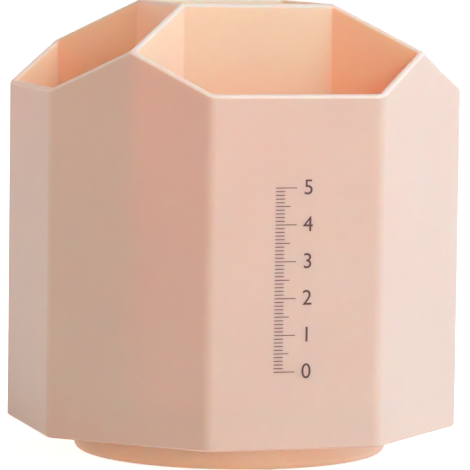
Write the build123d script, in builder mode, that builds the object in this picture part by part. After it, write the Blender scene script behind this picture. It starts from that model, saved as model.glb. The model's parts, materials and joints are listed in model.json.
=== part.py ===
from build123d import *
import os
from math import sqrt

os.makedirs("parts", exist_ok=True)

# Rotating pen holder: an octagonal body with five compartments turns on a round base.
# All lengths are in millimetres, +Z is up, and the origin is under the middle of the base, on the table.

# Body moulding
across_flats = 120.0
face_width = 48.8
corner_radius = 4.5
cell_corner_radius = 0.8
wall = 2.0
partition = 2.0
centre_cell = 42.0
low_rim_height = 96.0
peak_height = 120.0
cup_floor = 2.0
cup_floor_radius = 0.6
rim_round = 0.9
skirt_chamfer = 0.5

# Under plate with the pivot post
plate_thickness = 2.2
plate_recess = 0.8
plate_clearance = 0.25
dome_rise = 3.2
dome_air = 0.8
dome_gap = 1.7
post_radius = 5.0

# Base
base_radius = 44.6
base_show = 7.85
base_wall = 2.4
base_floor = 2.4
base_edge_radius = 2.0
base_lip_radius = 0.6
base_top_gap = 0.6
hub_wall = 1.8
hub_top_gap = 0.4

# Feet and the cover that carries them
foot_radius = 5.0
foot_thickness = 1.6
foot_stand = 0.8
foot_edge = 3.6
foot_chamfer = 0.3
foot_count = 4
pocket_clearance = 0.1
cover_thickness = 1.6
cover_clearance = 0.2

# Ball bearing
ball_radius = 2.0
ball_count = 16
ball_circle_radius = 30.0
ball_clearance = 0.06
groove_depth = 0.5
race_width = 8.0
race_thickness = 1.2
race_seat_depth = 0.8
race_clearance = 0.1
cage_width = 6.8
cage_thickness = 1.4
cage_clearance = 0.15

# Bush, washer and pivot screw
running_clearance = 0.05
bush_wall = 1.45
bush_flange_width = 2.0
bush_flange_thickness = 1.0
seat_clearance = 0.02
axial_play = 0.1
washer_radius = 8.0
washer_thickness = 1.0
washer_room = 0.8
pivot_shank_radius = 1.75
pivot_head_radius = 4.0
pivot_head_height = 2.0
pivot_head_round = 0.7
pivot_bite = 8.0
head_room = 0.4

# Countersunk screws
screw_count = 4
screw_shank_radius = 1.45
screw_head_radius = 2.75
screw_boss_wall = 2.0
screw_spare = 0.4
plate_screw_bite = 3.2
cover_screw_bite = 2.4
cross_width = 0.8
cross_depth = 0.9
cross_length_share = 0.62

# Overrun of a cut past the face that it opens, and how far up a face's normal points if the face looks up
overrun = 1.0
upward_share = 0.5

# Plan of the body
quarters = 4
diagonal_angle = 45.0
flat_half = across_flats / 2
face_half = face_width / 2
skirt_diagonal = (flat_half + face_half) / sqrt(2) - wall
centre_wall_half = centre_cell / 2 + partition
centre_ridge_half = centre_cell / 2 + partition / 2
rim_slope = (peak_height - low_rim_height) / (flat_half - centre_ridge_half)

# Heights, from the table up
base_bottom = foot_stand
body_bottom = base_bottom + base_show
plate_bottom = body_bottom + plate_recess
plate_top = plate_bottom + plate_thickness
dome_ceiling = plate_bottom + dome_rise
dome_top = dome_ceiling + plate_thickness
cup_floor_bottom = dome_top + dome_air
cup_floor_top = cup_floor_bottom + cup_floor
low_rim_top = body_bottom + low_rim_height
peak_top = body_bottom + peak_height
base_top = plate_bottom - base_top_gap

# Bearing, worked out from the under plate down
groove_radius = ball_radius + ball_clearance
upper_race_bottom = plate_bottom + race_seat_depth - race_thickness
ball_height = upper_race_bottom + groove_depth - groove_radius
lower_race_bottom = ball_height - groove_radius + groove_depth - race_thickness
race_inner_radius = ball_circle_radius - race_width / 2
race_outer_radius = ball_circle_radius + race_width / 2
base_floor_top = lower_race_bottom + race_seat_depth
base_floor_bottom = base_floor_top - base_floor

# Pivot, worked out from the cover up
cover_top = base_bottom + cover_thickness
pivot_head_bottom = cover_top + head_room
washer_bottom = pivot_head_bottom + pivot_head_height
post_bottom = washer_bottom + washer_thickness
flange_bottom = post_bottom + axial_play
hub_ceiling = flange_bottom + bush_flange_thickness
hub_step = hub_ceiling + hub_wall
hub_top = dome_ceiling - hub_top_gap
bush_bore_radius = post_radius + running_clearance
bush_radius = bush_bore_radius + bush_wall
bush_flange_radius = bush_radius + bush_flange_width
hub_bore_radius = bush_radius + seat_clearance
hub_radius = hub_bore_radius + hub_wall
hub_recess_radius = max(washer_radius, bush_flange_radius) + washer_room
hub_skirt_radius = hub_recess_radius + hub_wall
dome_inner_radius = hub_radius + dome_gap
dome_outer_radius = dome_inner_radius + plate_thickness

# Places and holes of screws and feet
cover_radius = base_radius - base_wall - cover_clearance
foot_circle_radius = cover_radius - foot_edge - foot_radius
plate_screw_circle_radius = (base_radius + skirt_diagonal) / 2
cover_screw_circle_radius = (hub_skirt_radius + race_inner_radius) / 2
screw_cone_height = screw_head_radius - screw_shank_radius
screw_pilot_radius = screw_shank_radius + seat_clearance
pivot_pilot_radius = pivot_shank_radius + seat_clearance
screw_boss_radius = screw_pilot_radius + screw_boss_wall


def quarter_turned(x, y, quarter):
    """The point turned about +Z by whole quarter turns."""
    for _ in range(quarter):
        x, y = -y, x
    return (x, y)


def near_diagonal(vertex):
    """True at the ends of the partitions, false at the ends of the main faces."""
    return abs(abs(vertex.X) - abs(vertex.Y)) < face_half / 2


def body_plan(inset):
    """Plan of the body, drawn in by inset: an octagon with rounded corners."""
    front_points = [(-face_half, -flat_half), (face_half, -flat_half)]
    points = [quarter_turned(x, y, quarter) for quarter in range(quarters) for x, y in front_points]
    with BuildSketch() as plan:
        with BuildLine():
            Polyline(*points, close=True)
        make_face()
        fillet(plan.vertices(), corner_radius)
        if inset:
            offset(amount=-inset, kind=Kind.INTERSECTION)
    return plan.sketch


def rim_plane(quarter):
    """Plane of one outer compartment's rim, which rises from its main face to the middle compartment."""
    low_x, low_y = quarter_turned(0, -flat_half, quarter)
    tilt_x, tilt_y = quarter_turned(0, -rim_slope, quarter)
    return Plane(origin=(low_x, low_y, low_rim_top), z_dir=(tilt_x, tilt_y, 1))


def upward_faces(faces, lowest, highest):
    """Faces that look up, level or sloping, with their middle between two heights."""
    facing_up = [face for face in faces if face.normal_at().Z > upward_share]
    return [face for face in facing_up if lowest < face.center().Z < highest]


def wall_edges(rim_faces):
    """Edges that one rim face has alone, without the ridges where two rim faces meet."""
    all_edges = [edge for face in rim_faces for edge in face.edges()]
    return [edge for edge in all_edges if sum(edge.is_same(other) for other in all_edges) == 1]


def cross_recess(head_radius):
    """Plan of the cross recess in a screw head."""
    cross_length = 2 * head_radius * cross_length_share
    with BuildSketch() as cross:
        Rectangle(cross_length, cross_width)
        Rectangle(cross_width, cross_length)
    return cross.sketch


def countersunk_screw(head_bottom, length):
    """Screw on the Z axis that points up, its flat head flush with head_bottom."""
    with BuildPart() as screw:
        with BuildSketch(Plane.XZ):
            with BuildLine():
                Polyline(
                    (0, head_bottom),
                    (screw_head_radius, head_bottom),
                    (screw_shank_radius, head_bottom + screw_cone_height),
                    (screw_shank_radius, head_bottom + length),
                    (0, head_bottom + length),
                    close=True,
                )
            make_face()
        revolve(axis=Axis.Z)
        with BuildSketch(Plane.XY.offset(head_bottom)):
            add(cross_recess(screw_head_radius))
        extrude(amount=cross_depth, mode=Mode.SUBTRACT)
    return screw.part


def countersunk_hole(face_height, thickness):
    """Room on the Z axis for a countersunk screw that enters a plate from below."""
    with BuildPart() as hole:
        with BuildSketch(Plane.XZ):
            with BuildLine():
                Polyline(
                    (0, face_height),
                    (screw_head_radius + seat_clearance, face_height),
                    (screw_pilot_radius, face_height + screw_cone_height),
                    (screw_pilot_radius, face_height + thickness + overrun),
                    (0, face_height + thickness + overrun),
                    close=True,
                )
            make_face()
        revolve(axis=Axis.Z)
    return hole.part


def race_plan(clearance):
    """Plan of a bearing race, or of its seat with some clearance."""
    with BuildSketch() as ring:
        Circle(race_outer_radius + clearance)
        Circle(race_inner_radius - clearance, mode=Mode.SUBTRACT)
    return ring.sketch


# Cup body: octagonal walls, partitions on the diagonals and a square compartment in the middle
with BuildPart() as cup_body:
    with BuildSketch(Plane.XY.offset(body_bottom)):
        add(body_plan(0))
    extrude(amount=peak_height)
    chamfer(cup_body.faces().sort_by(Axis.Z)[0].edges(), skirt_chamfer)
    # Hollow under the compartments
    with BuildSketch(Plane.XY.offset(body_bottom)):
        add(body_plan(wall))
    extrude(amount=cup_floor_bottom - body_bottom, mode=Mode.SUBTRACT)
    # Four outer compartments
    with BuildSketch(Plane.XY.offset(cup_floor_top)) as outer_cells:
        add(body_plan(wall))
        Rectangle(2 * across_flats, partition, rotation=diagonal_angle, mode=Mode.SUBTRACT)
        Rectangle(2 * across_flats, partition, rotation=-diagonal_angle, mode=Mode.SUBTRACT)
        Rectangle(2 * centre_wall_half, 2 * centre_wall_half, mode=Mode.SUBTRACT)
        fillet([v for v in outer_cells.vertices() if near_diagonal(v)], cell_corner_radius)
    extrude(amount=peak_height, mode=Mode.SUBTRACT)
    # Middle compartment
    with BuildSketch(Plane.XY.offset(cup_floor_top)):
        RectangleRounded(centre_cell, centre_cell, cell_corner_radius)
    extrude(amount=peak_height, mode=Mode.SUBTRACT)
    floors = upward_faces(cup_body.faces(), cup_floor_bottom, cup_floor_top + cup_floor)
    fillet([edge for floor in floors for edge in floor.edges()], cup_floor_radius)
    # Rims that rise to the middle
    for quarter in range(quarters):
        split(bisect_by=rim_plane(quarter), keep=Keep.BOTTOM)
    fillet(wall_edges(upward_faces(cup_body.faces(), low_rim_top, peak_top + overrun)), rim_round)
    # Screw bosses for the under plate
    with BuildSketch(Plane.XY.offset(plate_top)):
        with PolarLocations(plate_screw_circle_radius, screw_count, start_angle=diagonal_angle):
            Circle(screw_boss_radius)
    extrude(amount=cup_floor_bottom - plate_top)
    with BuildSketch(Plane.XY.offset(plate_top)):
        with PolarLocations(plate_screw_circle_radius, screw_count, start_angle=diagonal_angle):
            Circle(screw_pilot_radius)
    extrude(amount=plate_screw_bite + screw_spare, mode=Mode.SUBTRACT)
cup_body.part.label = "cup_body"
export_step(cup_body.part, "parts/cup_body.step")

# Under plate: closes the underside of the body and carries the upper race and the pivot post
with BuildPart() as under_plate:
    with BuildSketch(Plane.XY.offset(plate_bottom)):
        add(body_plan(wall + plate_clearance))
    extrude(amount=plate_thickness)
    with BuildSketch(Plane.XY.offset(plate_bottom)):
        Circle(dome_outer_radius)
    extrude(amount=dome_top - plate_bottom)
    with BuildSketch(Plane.XY.offset(plate_bottom)):
        Circle(dome_inner_radius)
    extrude(amount=dome_rise, mode=Mode.SUBTRACT)
    with BuildSketch(Plane.XY.offset(post_bottom)):
        Circle(post_radius)
    extrude(amount=dome_ceiling - post_bottom)
    with BuildSketch(Plane.XY.offset(post_bottom)):
        Circle(pivot_pilot_radius)
    extrude(amount=pivot_bite + screw_spare, mode=Mode.SUBTRACT)
    with BuildSketch(Plane.XY.offset(plate_bottom)):
        add(race_plan(race_clearance))
    extrude(amount=race_seat_depth, mode=Mode.SUBTRACT)
    with PolarLocations(plate_screw_circle_radius, screw_count, start_angle=diagonal_angle):
        add(countersunk_hole(plate_bottom, plate_thickness), mode=Mode.SUBTRACT)
under_plate.part.label = "under_plate"
export_step(under_plate.part, "parts/under_plate.step")

# Screws of the under plate
with BuildPart() as plate_screws:
    with PolarLocations(plate_screw_circle_radius, screw_count, start_angle=diagonal_angle):
        add(countersunk_screw(plate_bottom, plate_thickness + plate_screw_bite))
plate_screws.part.label = "plate_screws"
export_step(plate_screws.part, "parts/plate_screws.step")

# Races: flat steel rings with a groove for the balls, one in the under plate and one in the base
for race_name, race_bottom in (("upper_race", upper_race_bottom), ("lower_race", lower_race_bottom)):
    with BuildPart() as race:
        with BuildSketch(Plane.XY.offset(race_bottom)):
            add(race_plan(0))
        extrude(amount=race_thickness)
        with Locations((0, 0, ball_height)):
            Torus(ball_circle_radius, groove_radius, mode=Mode.SUBTRACT)
    race.part.label = race_name
    export_step(race.part, f"parts/{race_name}.step")

# Balls between the races
with BuildPart() as bearing_balls:
    with Locations((0, 0, ball_height)):
        with PolarLocations(ball_circle_radius, ball_count):
            Sphere(ball_radius)
bearing_balls.part.label = "bearing_balls"
export_step(bearing_balls.part, "parts/bearing_balls.step")

# Cage that keeps the balls apart
with BuildPart() as ball_cage:
    with BuildSketch(Plane.XY.offset(ball_height)):
        Circle(ball_circle_radius + cage_width / 2)
        Circle(ball_circle_radius - cage_width / 2, mode=Mode.SUBTRACT)
        with PolarLocations(ball_circle_radius, ball_count):
            Circle(ball_radius + cage_clearance, mode=Mode.SUBTRACT)
    extrude(amount=cage_thickness / 2, both=True)
ball_cage.part.label = "ball_cage"
export_step(ball_cage.part, "parts/ball_cage.step")

# Base: round dish with a rounded lower edge, a seat for the lower race and a hub for the bush
with BuildPart() as base_dish:
    with BuildSketch(Plane.XY.offset(base_bottom)):
        Circle(base_radius)
    extrude(amount=base_top - base_bottom)
    fillet(base_dish.edges().sort_by(Axis.Z)[0], base_edge_radius)
    fillet(base_dish.edges().sort_by(Axis.Z)[-1], base_lip_radius)
    with BuildSketch(Plane.XY.offset(base_floor_top)):
        Circle(base_radius - base_wall)
    extrude(amount=base_top - base_floor_top, mode=Mode.SUBTRACT)
    with BuildSketch(Plane.XY.offset(base_bottom)):
        Circle(base_radius - base_wall)
    extrude(amount=base_floor_bottom - base_bottom, mode=Mode.SUBTRACT)
    with BuildSketch(Plane.XY.offset(lower_race_bottom)):
        add(race_plan(race_clearance))
    extrude(amount=race_seat_depth, mode=Mode.SUBTRACT)
    # Hub: a wide step over the washer recess, then the tube round the bush
    with BuildSketch(Plane.XY.offset(base_floor_bottom)):
        Circle(hub_skirt_radius)
    extrude(amount=hub_step - base_floor_bottom)
    with BuildSketch(Plane.XY.offset(hub_step)):
        Circle(hub_radius)
    extrude(amount=hub_top - hub_step)
    with BuildSketch(Plane.XY.offset(base_floor_bottom)):
        Circle(hub_recess_radius)
    extrude(amount=hub_ceiling - base_floor_bottom, mode=Mode.SUBTRACT)
    with BuildSketch(Plane.XY.offset(hub_ceiling)):
        Circle(hub_bore_radius)
    extrude(amount=hub_top - hub_ceiling, mode=Mode.SUBTRACT)
    # Screw bosses for the cover
    with BuildSketch(Plane.XY.offset(cover_top)):
        with PolarLocations(cover_screw_circle_radius, screw_count, start_angle=diagonal_angle):
            Circle(screw_boss_radius)
    extrude(amount=base_floor_bottom - cover_top)
    with BuildSketch(Plane.XY.offset(cover_top)):
        with PolarLocations(cover_screw_circle_radius, screw_count, start_angle=diagonal_angle):
            Circle(screw_pilot_radius)
    extrude(amount=cover_screw_bite + screw_spare, mode=Mode.SUBTRACT)
base_dish.part.label = "base_dish"
export_step(base_dish.part, "parts/base_dish.step")

# Flanged bush in the hub
with BuildPart() as hub_bush:
    with BuildSketch(Plane.XY.offset(flange_bottom)):
        Circle(bush_flange_radius)
    extrude(amount=bush_flange_thickness)
    with BuildSketch(Plane.XY.offset(hub_ceiling)):
        Circle(bush_radius)
    extrude(amount=hub_top - hub_ceiling)
    with BuildSketch(Plane.XY.offset(flange_bottom)):
        Circle(bush_bore_radius)
    extrude(amount=hub_top - flange_bottom, mode=Mode.SUBTRACT)
hub_bush.part.label = "hub_bush"
export_step(hub_bush.part, "parts/hub_bush.step")

# Washer that keeps the body from lifting off the base
with BuildPart() as retaining_washer:
    with BuildSketch(Plane.XY.offset(washer_bottom)):
        Circle(washer_radius)
        Circle(pivot_pilot_radius, mode=Mode.SUBTRACT)
    extrude(amount=washer_thickness)
retaining_washer.part.label = "retaining_washer"
export_step(retaining_washer.part, "parts/retaining_washer.step")

# Pivot screw, which holds the washer to the end of the post
with BuildPart() as pivot_screw:
    with BuildSketch(Plane.XY.offset(pivot_head_bottom)):
        Circle(pivot_head_radius)
    extrude(amount=pivot_head_height)
    fillet(pivot_screw.edges().sort_by(Axis.Z)[0], pivot_head_round)
    with BuildSketch(Plane.XY.offset(washer_bottom)):
        Circle(pivot_shank_radius)
    extrude(amount=washer_thickness + pivot_bite)
    with BuildSketch(Plane.XY.offset(pivot_head_bottom)):
        add(cross_recess(pivot_head_radius))
    extrude(amount=cross_depth, mode=Mode.SUBTRACT)
pivot_screw.part.label = "pivot_screw"
export_step(pivot_screw.part, "parts/pivot_screw.step")

# Cover under the base, with pockets for the feet
with BuildPart() as base_cover:
    with BuildSketch(Plane.XY.offset(base_bottom)):
        Circle(cover_radius)
    extrude(amount=cover_thickness)
    with BuildSketch(Plane.XY.offset(base_bottom)):
        with PolarLocations(foot_circle_radius, foot_count):
            Circle(foot_radius + pocket_clearance)
    extrude(amount=foot_thickness - foot_stand, mode=Mode.SUBTRACT)
    with PolarLocations(cover_screw_circle_radius, screw_count, start_angle=diagonal_angle):
        add(countersunk_hole(base_bottom, cover_thickness), mode=Mode.SUBTRACT)
base_cover.part.label = "base_cover"
export_step(base_cover.part, "parts/base_cover.step")

# Screws of the cover
with BuildPart() as cover_screws:
    with PolarLocations(cover_screw_circle_radius, screw_count, start_angle=diagonal_angle):
        add(countersunk_screw(base_bottom, cover_thickness + cover_screw_bite))
cover_screws.part.label = "cover_screws"
export_step(cover_screws.part, "parts/cover_screws.step")

# Rubber feet, one node each
for foot_index, foot_place in enumerate(PolarLocations(foot_circle_radius, foot_count), start=1):
    with BuildPart() as foot:
        with BuildSketch(Plane(foot_place.position)):
            Circle(foot_radius)
        extrude(amount=foot_thickness)
        chamfer(foot.edges().sort_by(Axis.Z)[0], foot_chamfer)
    foot.part.label = f"foot_{foot_index}"
    export_step(foot.part, f"parts/foot_{foot_index}.step")
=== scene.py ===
import json
from math import cos, radians, sin, sqrt

import bpy
import numpy as np
from mathutils import Matrix, Vector


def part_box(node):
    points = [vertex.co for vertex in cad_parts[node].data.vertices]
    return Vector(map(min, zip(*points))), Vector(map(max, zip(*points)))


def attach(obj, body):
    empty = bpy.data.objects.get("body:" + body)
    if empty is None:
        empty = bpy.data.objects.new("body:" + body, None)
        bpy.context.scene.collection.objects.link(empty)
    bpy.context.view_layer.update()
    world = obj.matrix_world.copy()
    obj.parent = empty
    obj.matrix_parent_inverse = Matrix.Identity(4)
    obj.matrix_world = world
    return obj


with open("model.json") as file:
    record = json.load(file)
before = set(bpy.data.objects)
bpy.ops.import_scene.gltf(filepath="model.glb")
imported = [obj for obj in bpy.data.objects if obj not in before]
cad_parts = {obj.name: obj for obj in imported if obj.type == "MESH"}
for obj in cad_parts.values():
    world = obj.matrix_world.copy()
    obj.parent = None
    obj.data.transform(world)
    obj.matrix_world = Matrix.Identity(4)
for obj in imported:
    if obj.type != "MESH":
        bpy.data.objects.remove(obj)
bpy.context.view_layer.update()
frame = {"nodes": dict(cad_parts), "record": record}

# Everything is in metres, in the frame of the solids: +Z up, the front face of the body towards -Y
mm = 0.001

# Camera: where the photograph was taken from, around the turning axis
camera_azimuth = radians(-16.9)
camera_elevation = radians(5.02)
camera_roll = radians(0.78)
camera_distance = 1034.4 * mm
aim_right = 0.83 * mm
aim_height = 61.97 * mm
lens_length = 277.1
sensor_width = 36.0

# Floor: how white it looks beside the object, where its shadow lies, and far off
floor_colour = "#FAFAFA"
floor_half = 12.0
floor_drop = 0.02 * mm
floor_glow_near = 0.8
floor_glow_far = 1.0
shadow_start = 0.08
shadow_end = 0.6

# Light of the white room, and soft boxes: azimuth and elevation in degrees, width, height, watts, colour
room_level = 0.1
lamp_distance = 2.5
soft_boxes = {
    "key": (48, 45, 1.4, 1.2, 45.0, "#E8F3FF"),
    "key_low": (48, 25, 1.4, 1.2, 14.5, "#C4E2FF"),
    "right": (85, 12, 1.4, 0.9, 8.5, "#C8E4FF"),
    "front": (-8, 12, 1.4, 0.9, 19.4, "#FCFCF3"),
    "left": (300, 15, 1.4, 0.9, 5.2, "#FFC078"),
    "back_left": (240, 12, 1.4, 0.9, 14.0, "#FFF0DC"),
    "back_right": (140, 6, 1.4, 0.5, 19.0, "#FFFFFF"),
}
# Light in the compartments goes from wall to wall many times
light_bounces = 32

# Plastic: colours of the compartments (deeper: painted glow), the outside (paler: painted sheen), the skirt
# below the compartments (warmer: painted glow), the base (paler: painted light in the body's shade) and the
# rims (painted highlight)
deep_pigment_painted_glow = ("#FCCDAE", "#FED1B2")
pale_pigment_painted_sheen = ("#D5BBA9", "#D7BFAD")
skirt_pigment_painted_glow = ("#DBBAA8", "#DDBEAC")
base_pigment_painted_light = ("#EAD4BC", "#ECD7C0")
painted_rim_highlight = "#EACFC3"

# Sizes of the body that say where those colours lie, heights from its underside
wall = 2.0 * mm
low_rim_height = 96.0 * mm
ridge_half = 22.0 * mm
# Depth of the rims' painted highlight under their tops
painted_highlight_depth = 0.8 * mm
skirt_height = 5.0 * mm
skirt_fade = 6.0 * mm

# How deep light goes into the walls and into the skirt and base, as a scale of the plastic's own radii
wall_glow = 1.0 * mm
skirt_glow = 0.12 * mm

# Sizes of the patterns in the finishes, and the noise values between which a pigment goes from tone to tone
pigment_cloud = 35.0 * mm
pigment_spread = (0.3, 0.7)
mould_grain = 0.4 * mm
mould_relief = 0.03 * mm
zinc_bloom = 2.5 * mm
acetal_cloud = 4.0 * mm
acetal_glow = 1.0 * mm
rubber_grain = 0.5 * mm
rubber_relief = 0.05 * mm
ink_mottle = 0.8 * mm

# Scale printed on the front face, and the size of its font as a share of a digit's height
scale_low = 30.0 * mm
scale_length = 50.0 * mm
scale_left = -6.0 * mm
tick_step = 1.0 * mm
tick_width = 0.22 * mm
tick_length = 2.6 * mm
half_length = 4.2 * mm
number_length = 6.0 * mm
ticks_per_half = 5
ticks_per_number = 10
digit_height = 4.2 * mm
digit_gap = 1.8 * mm
font_size_share = 1.4
ink_thickness = 0.02 * mm

body_low, body_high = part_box("cup_body")
front_y = body_low.y


def linear(hex_colour):
    """An sRGB hex colour as linear RGBA."""
    srgb = np.array([int(hex_colour[i:i + 2], 16) for i in (1, 3, 5)]) / 255
    rgb = np.where(srgb <= 0.04045, srgb / 12.92, ((srgb + 0.055) / 1.055) ** 2.4)
    return (*rgb, 1.0)


def add(tree, kind, settings=None, links=None):
    """A new node of a tree: settings are its sockets, properties or ramp, links are its inputs' sources."""
    node = tree.nodes.new(kind)
    for name, value in (settings or {}).items():
        if name == "ramp":
            for stop, (position, colour) in zip(node.color_ramp.elements, value):
                stop.position = position
                stop.color = linear(colour)
        elif isinstance(name, int) or name in node.inputs:
            node.inputs[name].default_value = value
        else:
            setattr(node, name, value)
    for name, source in (links or {}).items():
        tree.links.new(source, node.inputs[name])
    return node


def new_material(name):
    """An empty node material, its tree, its output node and the place of a point in the shared frame."""
    material = bpy.data.materials.new(name)
    material.use_nodes = True
    tree = material.node_tree
    tree.nodes.clear()
    output = add(tree, "ShaderNodeOutputMaterial")
    place = add(tree, "ShaderNodeTexCoord").outputs["Object"]
    return material, tree, output, place


def grain_scale(size):
    """Noise scale that gives features of about that size, in metres."""
    return 1 / size


def plastic_zones(tree, place):
    """Sockets that say which zone of the plastic a point lies in: 1 in the zone, 0 out of it.

    outside: the octagon distance, the largest of |x|, |y| and (|x| + |y|) / root 2, is past the inner face
    of the walls. base: under the body. low: the base and the skirt, which fades out round the floors of the
    compartments. rim highlight: where the rims get their painted highlight, just under a roof that falls with
    the larger of |x| and |y|, from the level ridges round the middle compartment.
    """
    folded = add(tree, "ShaderNodeVectorMath", {"operation": "ABSOLUTE"}, {0: place}).outputs[0]
    axes = add(tree, "ShaderNodeSeparateXYZ", None, {0: folded})
    height = axes.outputs["Z"]
    square = add(
        tree,
        "ShaderNodeMath",
        {"operation": "MAXIMUM"},
        {0: axes.outputs["X"], 1: axes.outputs["Y"]},
    )
    corner = (sqrt(0.5), sqrt(0.5), 0)
    diagonal = add(tree, "ShaderNodeVectorMath", {"operation": "DOT_PRODUCT", 1: corner}, {0: folded})
    reach = add(
        tree,
        "ShaderNodeMath",
        {"operation": "MAXIMUM"},
        {0: square.outputs[0], 1: diagonal.outputs["Value"]},
    )
    outside = add(
        tree,
        "ShaderNodeMapRange",
        {"From Min": body_high.x - wall, "From Max": body_high.x - wall / 2},
        {"Value": reach.outputs[0]},
    )
    base = add(tree, "ShaderNodeMath", {"operation": "LESS_THAN", 1: body_low.z}, {0: height})
    skirt_top = body_low.z + skirt_height
    low = add(
        tree,
        "ShaderNodeMapRange",
        {"From Min": skirt_top, "From Max": skirt_top + skirt_fade, "To Min": 1.0, "To Max": 0.0},
        {"Value": height},
    )
    # Height added to the roof's fall, which is the same all over the roof
    rim_slope = (body_high.z - body_low.z - low_rim_height) / (body_high.x - ridge_half)
    roof = body_low.z + low_rim_height + rim_slope * body_high.x
    sloping = add(tree, "ShaderNodeMath", {"operation": "MAXIMUM", 1: ridge_half}, {0: square.outputs[0]})
    rise = add(
        tree,
        "ShaderNodeMath",
        {"operation": "MULTIPLY_ADD", 1: rim_slope},
        {0: sloping.outputs[0], 2: height},
    )
    # Painted highlight along the rims' tops
    painted_highlight_zone = add(
        tree,
        "ShaderNodeMapRange",
        {"From Min": roof - painted_highlight_depth, "From Max": roof - painted_highlight_depth / 2},
        {"Value": rise.outputs[0]},
    )
    return outside.outputs["Result"], base.outputs[0], low.outputs["Result"], painted_highlight_zone.outputs["Result"]


def moulded_abs():
    """Pigmented ABS with a satin skin over a milky wall, which glows where light is behind it.

    The outside comes from a finely eroded mould and the compartments from smoother steel. The outside's
    colour is paled by a painted sheen, and the compartments have a deeper colour, painted glow of the light
    that goes from wall to wall in them. The thin rims are paler still: a painted highlight. The skirt and the
    base have no lit compartment behind them: they glow less. The skirt is tinted a little warmer, painted
    glow, and the base a little paler, painted light in the shade of the body.
    """
    material, tree, output, place = new_material("moulded_peach_abs")
    outside, base, low, painted_highlight_zone = plastic_zones(tree, place)
    # Pigment that is not quite even, over a few centimetres
    pattern = {"Scale": grain_scale(pigment_cloud), "Detail": 3.0}
    cloud = add(tree, "ShaderNodeTexNoise", pattern, {"Vector": place})
    tints = []
    for pigment in (deep_pigment_painted_glow, pale_pigment_painted_sheen, skirt_pigment_painted_glow, base_pigment_painted_light):
        tones = {"ramp": zip(pigment_spread, pigment)}
        tint = add(tree, "ShaderNodeValToRGB", tones, {"Fac": cloud.outputs["Fac"]})
        tints.append(tint.outputs["Color"])
    deep_tint_painted_glow, pale_tint_painted_sheen, skirt_tint_painted_glow, base_tint_painted_light = tints
    # Compartments deeper as painted glow of the light between their walls, outside paled as a painted sheen,
    # skirt warmer as painted glow, base paler as painted light in the body's shade
    blend = {"data_type": "RGBA"}
    shell = add(tree, "ShaderNodeMix", blend, {"Factor": low, 6: pale_tint_painted_sheen, 7: skirt_tint_painted_glow})
    body = add(tree, "ShaderNodeMix", blend, {"Factor": outside, 6: deep_tint_painted_glow, 7: shell.outputs[2]})
    whole = add(tree, "ShaderNodeMix", blend, {"Factor": base, 6: body.outputs[2], 7: base_tint_painted_light})
    # Rims paler still: a painted highlight
    colour = add(
        tree,
        "ShaderNodeMix",
        {"data_type": "RGBA", 7: linear(painted_rim_highlight)},
        {"Factor": painted_highlight_zone, 6: whole.outputs[2]},
    )
    # Spark-eroded grain, drawn a few times coarser than the real 0.1 mm so that it shows close up
    pattern = {"Scale": grain_scale(mould_grain), "Detail": 2.0}
    grain = add(tree, "ShaderNodeTexNoise", pattern, {"Vector": place})
    bump = add(
        tree,
        "ShaderNodeBump",
        {"Strength": 0.12, "Distance": mould_relief},
        {"Height": grain.outputs["Fac"]},
    )
    gloss = add(tree, "ShaderNodeMapRange", {"To Min": 0.37, "To Max": 0.47}, {"Value": cloud.outputs["Fac"]})
    glow = add(tree, "ShaderNodeMapRange", {"To Min": wall_glow, "To Max": skirt_glow}, {"Value": low})
    shader = add(
        tree,
        "ShaderNodeBsdfPrincipled",
        {
            "IOR": 1.53,
            "Subsurface Weight": 1.0,
            "Subsurface Radius": (7.0, 2.6, 1.4),
            "Specular IOR Level": 0.25,
        },
        {
            "Base Color": colour.outputs[2],
            "Roughness": gloss.outputs["Result"],
            "Normal": bump.outputs["Normal"],
            "Subsurface Scale": glow.outputs["Result"],
        },
    )
    tree.links.new(shader.outputs["BSDF"], output.inputs["Surface"])
    return material


def zinc_plated_steel():
    """Zinc-plated steel: a dull bright metal with a faint cloudy bloom."""
    material, tree, output, place = new_material("zinc_plated_steel")
    pattern = {"Scale": grain_scale(zinc_bloom), "Detail": 4.0}
    bloom = add(tree, "ShaderNodeTexNoise", pattern, {"Vector": place})
    tones = {"ramp": ((0, "#B9BBBD"), (1, "#D0D1D0"))}
    tint = add(tree, "ShaderNodeValToRGB", tones, {"Fac": bloom.outputs["Fac"]})
    gloss = add(tree, "ShaderNodeMapRange", {"To Min": 0.24, "To Max": 0.4}, {"Value": bloom.outputs["Fac"]})
    shader = add(
        tree,
        "ShaderNodeBsdfPrincipled",
        {"Metallic": 1.0},
        {"Base Color": tint.outputs["Color"], "Roughness": gloss.outputs["Result"]},
    )
    tree.links.new(shader.outputs["BSDF"], output.inputs["Surface"])
    return material


def natural_acetal():
    """Natural acetal: milky white, slick and slightly waxy."""
    material, tree, output, place = new_material("natural_acetal")
    pattern = {"Scale": grain_scale(acetal_cloud), "Detail": 2.0}
    cloud = add(tree, "ShaderNodeTexNoise", pattern, {"Vector": place})
    tones = {"ramp": ((0, "#E6E3DA"), (1, "#F0EEE8"))}
    tint = add(tree, "ShaderNodeValToRGB", tones, {"Fac": cloud.outputs["Fac"]})
    shader = add(
        tree,
        "ShaderNodeBsdfPrincipled",
        {"IOR": 1.48, "Roughness": 0.35, "Subsurface Weight": 0.3, "Subsurface Scale": acetal_glow},
        {"Base Color": tint.outputs["Color"]},
    )
    tree.links.new(shader.outputs["BSDF"], output.inputs["Surface"])
    return material


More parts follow.
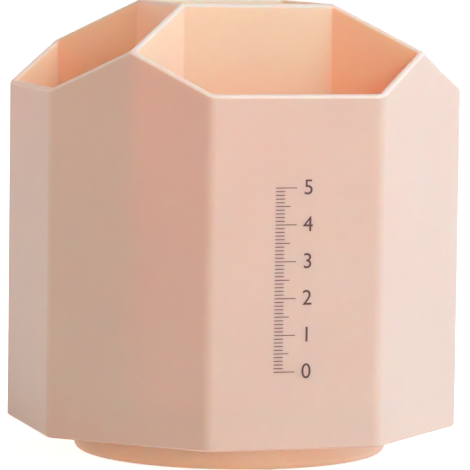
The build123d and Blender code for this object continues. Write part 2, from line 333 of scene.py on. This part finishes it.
def foot_rubber():
    """Black moulded rubber: matte, with a fine dusty grain."""
    material, tree, output, place = new_material("moulded_foot_rubber")
    pattern = {"Scale": grain_scale(rubber_grain), "Detail": 3.0}
    grain = add(tree, "ShaderNodeTexNoise", pattern, {"Vector": place})
    tones = {"ramp": ((0, "#2A2828"), (1, "#3A3736"))}
    tint = add(tree, "ShaderNodeValToRGB", tones, {"Fac": grain.outputs["Fac"]})
    bump = add(
        tree,
        "ShaderNodeBump",
        {"Strength": 0.3, "Distance": rubber_relief},
        {"Height": grain.outputs["Fac"]},
    )
    shader = add(
        tree,
        "ShaderNodeBsdfPrincipled",
        {"IOR": 1.52, "Roughness": 0.8},
        {"Base Color": tint.outputs["Color"], "Normal": bump.outputs["Normal"]},
    )
    tree.links.new(shader.outputs["BSDF"], output.inputs["Surface"])
    return material


def printing_ink():
    """Pad-printed brown ink: a thin even film, a little mottled where the pad let go."""
    material, tree, output, place = new_material("pad_printed_ink")
    pattern = {"Scale": grain_scale(ink_mottle), "Detail": 2.0}
    mottle = add(tree, "ShaderNodeTexNoise", pattern, {"Vector": place})
    tones = {"ramp": ((0, "#482820"), (1, "#58342B"))}
    tint = add(tree, "ShaderNodeValToRGB", tones, {"Fac": mottle.outputs["Fac"]})
    shader = add(
        tree,
        "ShaderNodeBsdfPrincipled",
        {"IOR": 1.5, "Roughness": 0.5},
        {"Base Color": tint.outputs["Color"]},
    )
    tree.links.new(shader.outputs["BSDF"], output.inputs["Surface"])
    return material


def seen_directly(tree):
    """A socket that is 1 where the eye, metal or glass sees the surface, and 0 for the light it throws."""
    path = add(tree, "ShaderNodeLightPath")
    seen = path.outputs["Is Camera Ray"]
    for ray in ("Is Glossy Ray", "Is Transmission Ray"):
        either = add(tree, "ShaderNodeMath", {"operation": "MAXIMUM"}, {0: seen, 1: path.outputs[ray]})
        seen = either.outputs[0]
    return seen


def print_on_body(mesh, ink):
    """Makes a mesh a piece of ink that rides on the turning body."""
    mesh.materials.clear()
    mesh.materials.append(ink)
    piece = bpy.data.objects.new(mesh.name, mesh)
    bpy.context.scene.collection.objects.link(piece)
    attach(piece, "rotor")


def upright_boxes(low_corners, high_corners):
    """Vertices and outward faces of many boxes, from arrays of their low and high corners.

    Bits 0, 1 and 2 of a vertex's number, 0 to 7, say whether its x, y and z come from the high corner.
    """
    pick = np.array([[(number >> bit) & 1 for bit in range(3)] for number in range(8)])
    corners = np.where(pick[None, :, :] == 0, low_corners[:, None, :], high_corners[:, None, :])
    sides = np.array([(0, 2, 3, 1), (4, 5, 7, 6), (0, 1, 5, 4), (2, 6, 7, 3), (0, 4, 6, 2), (1, 3, 7, 5)])
    faces = sides[None, :, :] + len(pick) * np.arange(len(low_corners))[:, None, None]
    return corners.reshape(-1, 3), faces.reshape(-1, 4)


def scale_ticks(ink):
    """Ticks of a plain centimetre scale: one a millimetre, longer at each half and whole centimetre."""
    count = round(scale_length / tick_step) + 1
    number = np.arange(count)
    length = np.full(count, tick_length)
    length[number % ticks_per_half == 0] = half_length
    length[number % ticks_per_number == 0] = number_length
    height = scale_low + number * tick_step
    left = np.full(count, scale_left)
    skin = np.full(count, front_y)
    low_corners = np.stack([left, skin - ink_thickness, height - tick_width / 2], 1)
    high_corners = np.stack([left + length, skin, height + tick_width / 2], 1)
    vertices, faces = upright_boxes(low_corners, high_corners)
    mesh = bpy.data.meshes.new("scale_ticks")
    mesh.from_pydata(vertices, [], faces.tolist())
    print_on_body(mesh, ink)


def scale_digits(ink):
    """Numbers beside the whole centimetres, as text made a mesh and then laid on the front face."""
    number_step = ticks_per_number * tick_step
    upright = Matrix.Rotation(radians(90), 4, "X")
    left = scale_left + number_length + digit_gap
    for number in range(round(scale_length / number_step) + 1):
        curve = bpy.data.curves.new("digit", "FONT")
        curve.body = str(number)
        curve.size = digit_height * font_size_share
        curve.align_y = "CENTER"
        curve.extrude = ink_thickness / 2
        text = bpy.data.objects.new("digit", curve)
        bpy.context.scene.collection.objects.link(text)
        bpy.context.view_layer.update()
        mesh = bpy.data.meshes.new_from_object(text.evaluated_get(bpy.context.evaluated_depsgraph_get()))
        bpy.data.objects.remove(text)
        spot = Vector((left, front_y - ink_thickness / 2, scale_low + number * number_step))
        mesh.transform(Matrix.Translation(spot) @ upright)
        mesh.name = f"scale_digit_{number}"
        print_on_body(mesh, ink)


def dress_nodes(finishes):
    """Gives every node of the solids the finish of its slot in the record."""
    for subpart in frame["record"]["subparts"]:
        mesh = frame["nodes"][subpart["node"]].data
        mesh.materials.clear()
        mesh.materials.append(finishes[subpart["material_slot"]])


def add_floor():
    """White paper: it keeps the faint shadow beside the object and is plain white to the eye further off."""
    material, tree, output, place = new_material("white_floor")
    reach = add(tree, "ShaderNodeVectorMath", {"operation": "LENGTH"}, {0: place})
    share = add(
        tree,
        "ShaderNodeMapRange",
        {
            "interpolation_type": "SMOOTHSTEP",
            "From Min": shadow_start,
            "From Max": shadow_end,
            "To Min": floor_glow_near,
            "To Max": floor_glow_far,
        },
        {"Value": reach.outputs["Value"]},
    )
    strength = add(
        tree,
        "ShaderNodeMath",
        {"operation": "MULTIPLY"},
        {0: seen_directly(tree), 1: share.outputs["Result"]},
    )
    dull = add(tree, "ShaderNodeBsdfDiffuse", {"Color": linear(floor_colour)})
    glow = add(tree, "ShaderNodeEmission", None, {"Strength": strength.outputs[0]})
    both = add(tree, "ShaderNodeAddShader", None, {0: dull.outputs[0], 1: glow.outputs[0]})
    tree.links.new(both.outputs[0], output.inputs["Surface"])
    corners = [(-1, -1), (1, -1), (1, 1), (-1, 1)]
    mesh = bpy.data.meshes.new("floor")
    mesh.from_pydata([(x * floor_half, y * floor_half, -floor_drop) for x, y in corners], [], [(0, 1, 2, 3)])
    mesh.materials.append(material)
    floor = bpy.data.objects.new("floor", mesh)
    bpy.context.scene.collection.objects.link(floor)


def add_world():
    """Even white surroundings: a soft light at the room's level, and plain white to the eye."""
    world = bpy.data.worlds.new("studio")
    world.use_nodes = True
    tree = world.node_tree
    tree.nodes.clear()
    levels = {"To Min": room_level, "To Max": 1.0}
    strength = add(tree, "ShaderNodeMapRange", levels, {"Value": seen_directly(tree)})
    white = {"Color": (1, 1, 1, 1)}
    glow = add(tree, "ShaderNodeBackground", white, {"Strength": strength.outputs["Result"]})
    output = add(tree, "ShaderNodeOutputWorld")
    tree.links.new(glow.outputs[0], output.inputs["Surface"])
    bpy.context.scene.world = world


def soft_box(name, azimuth, elevation, width, height, power, colour):
    """A soft box that looks at the middle of the body, from an azimuth round from the front to the right."""
    lamp = bpy.data.lights.new(name, "AREA")
    lamp.shape = "RECTANGLE"
    lamp.size = width
    lamp.size_y = height
    lamp.energy = power
    lamp.color = linear(colour)[:3]
    holder = bpy.data.objects.new(name, lamp)
    bpy.context.scene.collection.objects.link(holder)
    round_by = radians(azimuth)
    up_by = radians(elevation)
    towards = Vector((sin(round_by) * cos(up_by), -cos(round_by) * cos(up_by), sin(up_by)))
    holder.location = Vector((0, 0, (body_low.z + body_high.z) / 2)) + towards * lamp_distance
    holder.rotation_euler = towards.to_track_quat("Z", "Y").to_euler()
    holder.visible_camera = False


def add_camera():
    """The photograph's camera, from its place around the turning axis, its distance and its roll."""
    forward = Vector((
        -sin(camera_azimuth) * cos(camera_elevation),
        cos(camera_azimuth) * cos(camera_elevation),
        -sin(camera_elevation),
    ))
    right = Vector((cos(camera_azimuth), sin(camera_azimuth), 0))
    up = right.cross(forward)
    aim = Vector((0, 0, aim_height)) + right * aim_right
    rolled_right = right * cos(camera_roll) + up * sin(camera_roll)
    rolled_up = up * cos(camera_roll) - right * sin(camera_roll)
    lens = bpy.data.cameras.new("camera")
    lens.lens = lens_length
    lens.sensor_width = sensor_width
    camera = bpy.data.objects.new("camera", lens)
    bpy.context.scene.collection.objects.link(camera)
    turn = Matrix((rolled_right, rolled_up, -forward)).transposed().to_4x4()
    camera.matrix_world = Matrix.Translation(aim - forward * camera_distance) @ turn
    bpy.context.scene.camera = camera


dress_nodes({
    "body_abs": moulded_abs(),
    "steel": zinc_plated_steel(),
    "acetal": natural_acetal(),
    "foot_rubber": foot_rubber(),
})
ink = printing_ink()
scale_ticks(ink)
scale_digits(ink)
add_floor()
add_world()
for name, values in soft_boxes.items():
    soft_box(name, *values)
add_camera()
bpy.context.scene.cycles.max_bounces = light_bounces
bpy.context.scene.cycles.diffuse_bounces = light_bounces
bpy.context.scene.view_settings.view_transform = "Standard"
